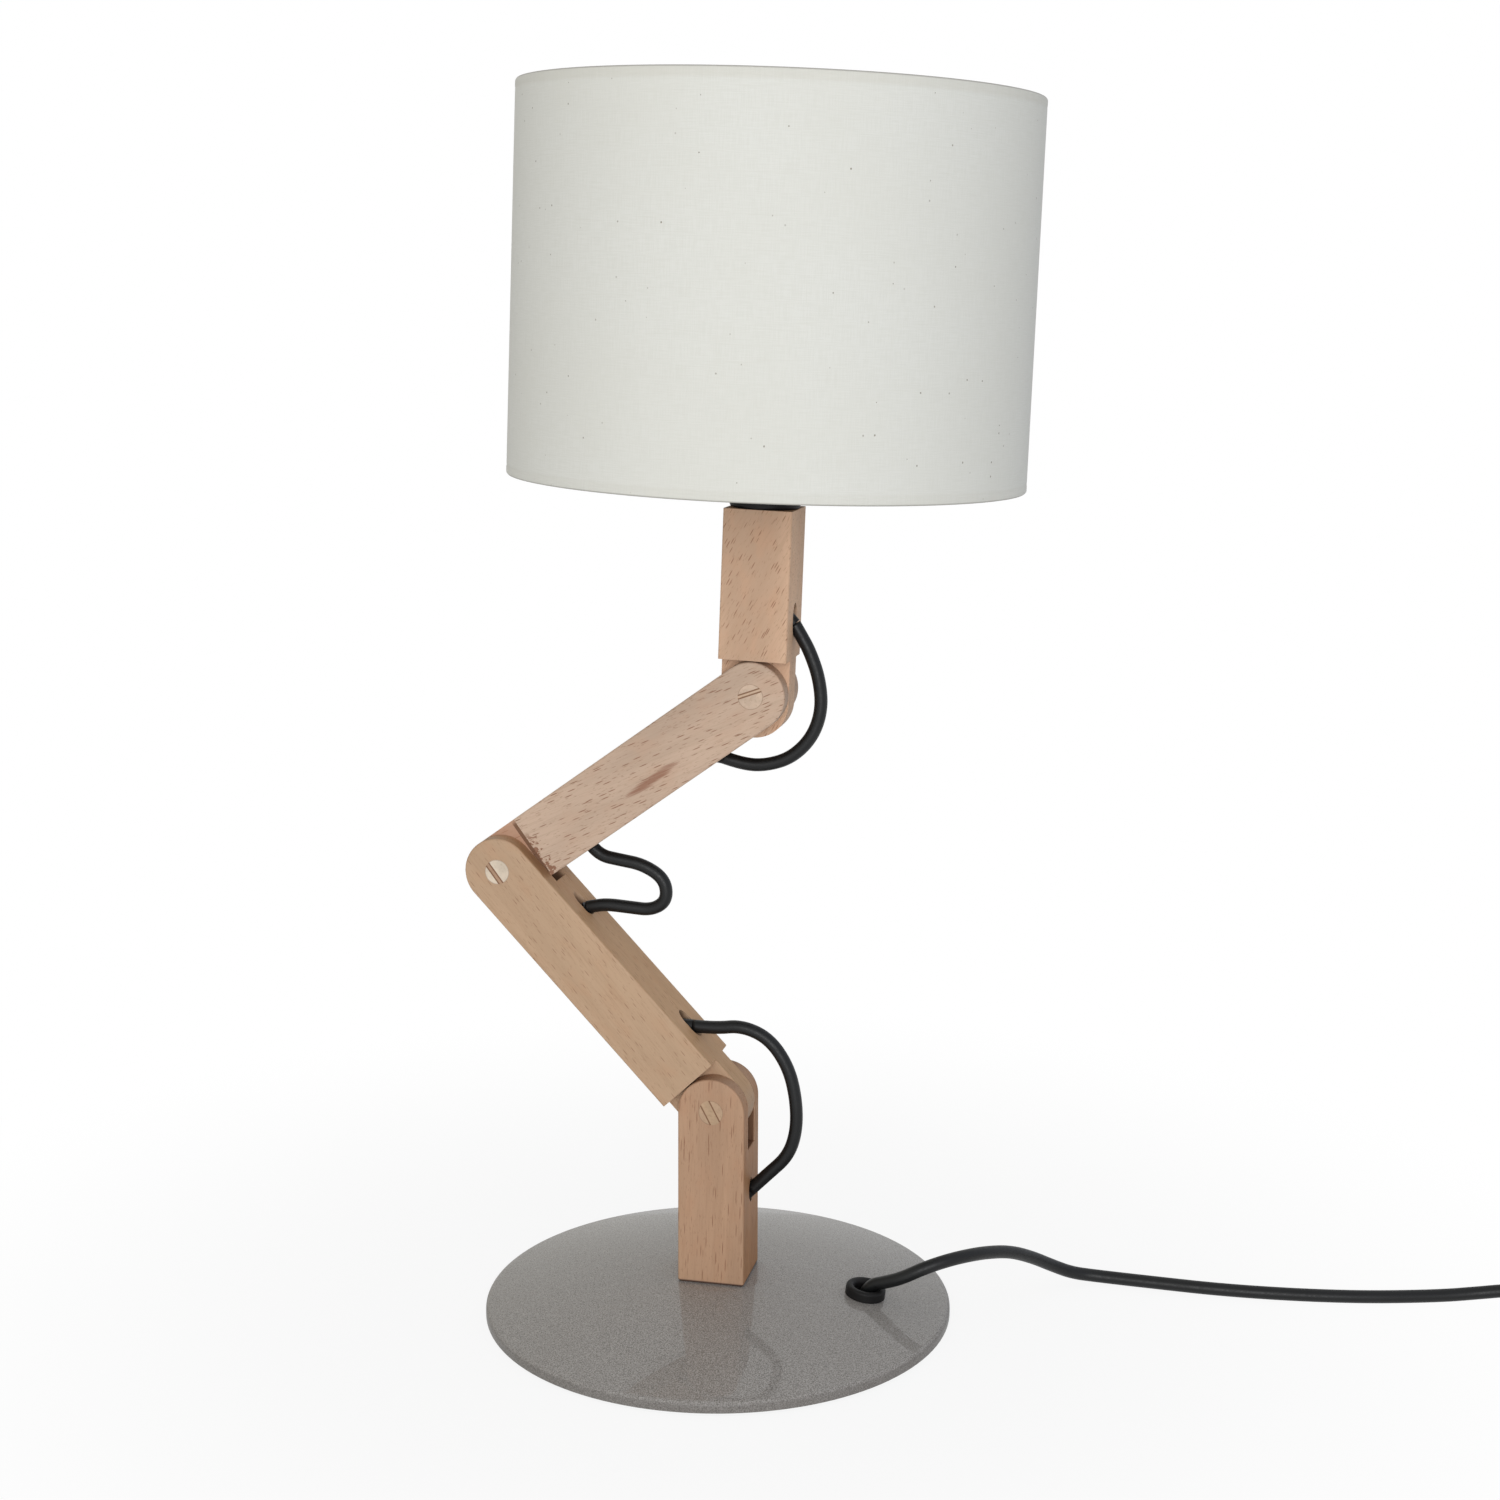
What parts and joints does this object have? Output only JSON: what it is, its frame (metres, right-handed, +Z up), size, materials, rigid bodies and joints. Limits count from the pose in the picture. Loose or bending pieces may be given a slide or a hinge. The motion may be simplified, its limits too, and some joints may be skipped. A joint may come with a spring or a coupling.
{
  "type": "articulated table lamp",
  "caption": "Table lamp with jointed square timber arms on a domed metal base, a pale fabric drum shade, and a black mains cord with a rocker switch and a plug.",
  "frame": {"origin": "middle of the base's underside, on the table", "axes": "+Z up, +X to the right seen from the front, +Y to the back; the arms swing in the XZ plane about pins along Y"},
  "size_m": [0.5724, 0.2, 0.4875],
  "materials": {
    "base_lacquer": "semi-gloss",
    "iron": "rough",
    "felt": "matte",
    "screw_steel": "satin",
    "black_rubber": "matte",
    "beech": "satin",
    "dowel_wood": "satin",
    "wedge_wood": "satin",
    "cord_black": "satin",
    "black_plastic": "satin",
    "rocker_plastic": "gloss",
    "plated_steel": "satin",
    "brass": "satin",
    "white_wire": "satin",
    "shade_cloth": "matte",
    "shade_lining": "matte",
    "opal_glass": "opal",
    "cap_metal": "satin",
    "strap": "matte"
  },
  "bodies": {
    "base": {"base_dome": "base_lacquer", "base_pad": "felt", "ballast_plate": "iron", "post_screws": "screw_steel", "cord_grommet": "black_rubber", "post": "beech", "lower_pin": "dowel_wood", "lower_pin_wedges": "wedge_wood", "cord_in_base": "cord_black", "cord_loop_lower": "cord_black", "cord_lead": "cord_black", "switch_case_lower": "black_plastic", "switch_case_upper": "black_plastic", "switch_screws": "screw_steel", "cord_link": "cord_black", "cord_coil": "cord_black", "coil_tie": "strap", "cord_tail": "cord_black", "plug_body": "black_plastic", "plug_pins": "plated_steel"},
    "rocker": {"switch_rocker": "rocker_plastic"},
    "lower_arm": {"lower_arm": "beech", "cord_in_lower_arm": "cord_black", "elbow_pin": "dowel_wood", "elbow_pin_wedges": "wedge_wood", "cord_loop_elbow": "cord_black"},
    "upper_arm": {"upper_arm": "beech", "cord_in_upper_arm": "cord_black", "upper_pin": "dowel_wood", "upper_pin_wedges": "wedge_wood", "cord_loop_upper": "cord_black"},
    "head": {"head_block": "beech", "cord_in_head": "cord_black", "threaded_nipple": "plated_steel", "nipple_nut": "plated_steel", "lampholder_cap": "black_plastic", "lampholder_body": "black_plastic", "lampholder_sleeve": "brass", "lampholder_contact": "brass", "shade_clamp_ring": "black_plastic", "shade_frame": "white_wire", "shade_top_ring": "white_wire", "shade_lining": "shade_lining", "shade_cloth": "shade_cloth", "bulb_cap": "cap_metal", "bulb_glass": "opal_glass"}
  },
  "joints": [
    {"name": "post_knuckle", "type": "hinge", "parent": "base", "child": "lower_arm", "pos_m": [0, 0, 0.08625], "axis": [0, 1, 0], "range_deg": [-22.5, 43.5], "deforming": ["cord_loop_lower"]},
    {"name": "elbow_knuckle", "type": "hinge", "parent": "lower_arm", "child": "upper_arm", "pos_m": [-0.08811, 0, 0.1791], "axis": [0, 1, 0], "range_deg": [-77.5, 6], "deforming": ["cord_loop_elbow"]},
    {"name": "head_knuckle", "type": "hinge", "parent": "upper_arm", "child": "head", "pos_m": [0.01544, 0, 0.25433], "axis": [0, 1, 0], "range_deg": [-30, 52], "deforming": ["cord_loop_upper"]},
    {"name": "switch_rock", "type": "hinge", "parent": "base", "child": "rocker", "pos_m": [0.351, 0.073, 0.0156], "axis": [0, 1, 0], "range_deg": [0, 18]}
  ]
}
